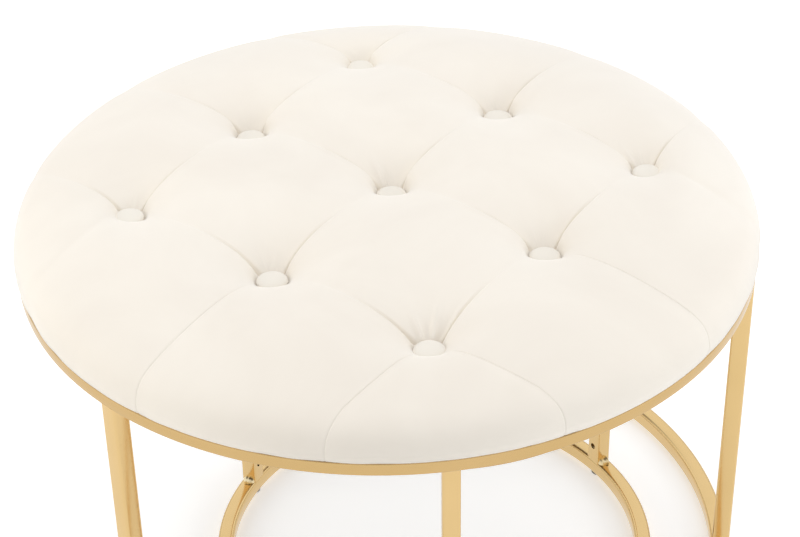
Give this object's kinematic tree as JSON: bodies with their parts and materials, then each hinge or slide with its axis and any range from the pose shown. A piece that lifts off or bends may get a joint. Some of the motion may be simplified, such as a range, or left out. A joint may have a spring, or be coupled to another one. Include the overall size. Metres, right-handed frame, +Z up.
{
  "type": "vanity stool",
  "caption": "Nesting pair of round vanity stools with button-tufted velvet cushions on gold square-tube frames.",
  "frame": {"origin": "on the floor, under the middle of the large stool", "axes": "+Z up; +X and +Y lie in the floor, with the first leg of the large stool at a bearing of -133.7 degrees from +X towards +Y and the open side of its base ring at 166.3 degrees"},
  "size_m": [0.6638, 0.6638, 0.4257],
  "materials": {
    "gold_metal": "polished gold plating on steel tube",
    "velvet": "ivory short-pile velvet",
    "foam": "open-cell foam",
    "plywood": "raw plywood",
    "steel": "zinc-plated screw",
    "tie_cord": "waxed nylon twine",
    "lining": "black non-woven dust cloth",
    "pad": "matte non-slip foot pad"
  },
  "bodies": {
    "large_stool": {"large_base_ring": "gold_metal", "large_board_screw_1": "steel", "large_board_screw_2": "steel", "large_board_screw_3": "steel", "large_button_1": "velvet", "large_button_2": "velvet", "large_button_3": "velvet", "large_button_4": "velvet", "large_button_5": "velvet", "large_button_6": "velvet", "large_button_7": "velvet", "large_button_8": "velvet", "large_button_9": "velvet", "large_button_tie_1": "tie_cord", "large_button_tie_2": "tie_cord", "large_button_tie_3": "tie_cord", "large_button_tie_4": "tie_cord", "large_button_tie_5": "tie_cord", "large_button_tie_6": "tie_cord", "large_button_tie_7": "tie_cord", "large_button_tie_8": "tie_cord", "large_button_tie_9": "tie_cord", "large_dust_cover": "lining", "large_foam_pad": "foam", "large_foot_pad_1": "pad", "large_foot_pad_2": "pad", "large_foot_pad_3": "pad", "large_leg_1": "gold_metal", "large_leg_2": "gold_metal", "large_leg_3": "gold_metal", "large_seat_board": "plywood", "large_top_ring": "gold_metal", "large_velvet_cover": "velvet"},
    "small_stool": {"small_base_ring": "gold_metal", "small_board_screw_1": "steel", "small_board_screw_2": "steel", "small_board_screw_3": "steel", "small_button_1": "velvet", "small_button_2": "velvet", "small_button_3": "velvet", "small_button_4": "velvet", "small_button_tie_1": "tie_cord", "small_button_tie_2": "tie_cord", "small_button_tie_3": "tie_cord", "small_button_tie_4": "tie_cord", "small_dust_cover": "lining", "small_foam_pad": "foam", "small_foot_pad_1": "pad", "small_foot_pad_2": "pad", "small_foot_pad_3": "pad", "small_leg_1": "gold_metal", "small_leg_2": "gold_metal", "small_leg_3": "gold_metal", "small_seat_board": "plywood", "small_top_ring": "gold_metal", "small_velvet_cover": "velvet"}
  },
  "joints": [
    {"name": "small_stool_slide", "type": "slide", "parent": "large_stool", "child": "small_stool", "axis": [-0.9715, 0.2368, 0], "range_m": [0, 0.61]}
  ]
}
